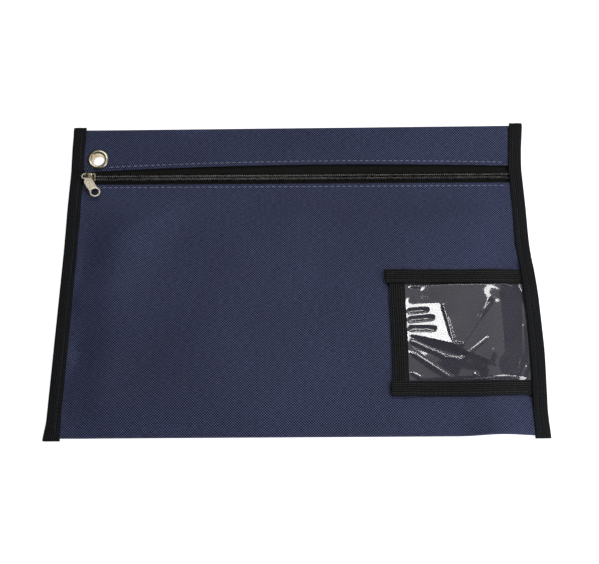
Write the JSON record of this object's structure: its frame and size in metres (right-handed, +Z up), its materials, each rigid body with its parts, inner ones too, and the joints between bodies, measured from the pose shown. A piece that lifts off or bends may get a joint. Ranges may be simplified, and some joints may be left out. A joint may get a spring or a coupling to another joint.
{
  "type": "zipped cash deposit bag",
  "caption": "Flat zipped deposit bag of navy coated cloth with black edge binding, a clear label window, a hanging eyelet and a zip slider with a swivelling puller.",
  "frame": {"origin": "centre of the bag's footprint, on the surface it lies on", "axes": "+X along the zip, from the closed end towards the open end; +Y from the bottom fold to the top fold; +Z up, out of the front panel"},
  "size_m": [0.35, 0.2506, 0.0184],
  "materials": {
    "body_cloth": "plain-woven polyester, coated, with a soft sheen",
    "binding_tape": "black woven binding tape, matte",
    "window_tape": "black ribbed grosgrain tape",
    "zip_tape": "black woven zip tape",
    "zip_coil": "black nylon coil, slightly glossy",
    "zip_metal": "nickel-plated die cast, polished with fine wear",
    "eyelet_metal": "nickel-plated brass, polished",
    "window_film": "clear soft film, glossy and rippled",
    "grey_thread": "grey-blue polyester sewing thread",
    "black_thread": "black polyester sewing thread"
  },
  "bodies": {
    "bag": {"front_panel": "body_cloth", "back_panel": "body_cloth", "header_panel": "body_cloth", "left_binding": "binding_tape", "right_binding": "binding_tape", "zip_tape_upper": "zip_tape", "zip_tape_lower": "zip_tape", "zip_coil_upper": "zip_coil", "zip_coil_lower": "zip_coil", "eyelet": "eyelet_metal", "eyelet_washer": "eyelet_metal", "window_film": "window_film", "window_tape_top": "window_tape", "window_tape_left": "window_tape", "window_tape_bottom": "window_tape", "zip_stitch_upper": "grey_thread", "zip_stitch_lower": "grey_thread", "left_binding_stitch": "black_thread", "right_binding_stitch": "black_thread", "window_top_stitch_upper": "black_thread", "window_top_stitch_lower": "black_thread", "window_left_stitch_outer": "black_thread", "window_left_stitch_inner": "black_thread", "window_bottom_stitch_upper": "black_thread", "window_bottom_stitch_lower": "black_thread"},
    "slider": {"slider_body": "zip_metal"},
    "puller": {"puller": "zip_metal"}
  },
  "joints": [
    {"name": "slider_travel", "type": "slide", "parent": "bag", "child": "slider", "axis": [1, 0, 0], "range_m": [0, 0.318]},
    {"name": "puller_swivel", "type": "hinge", "parent": "slider", "child": "puller", "pos_m": [-0.1628, 0.0808, 0.0085], "axis": [0, 0, 1], "range_deg": [-120, 10]}
  ]
}
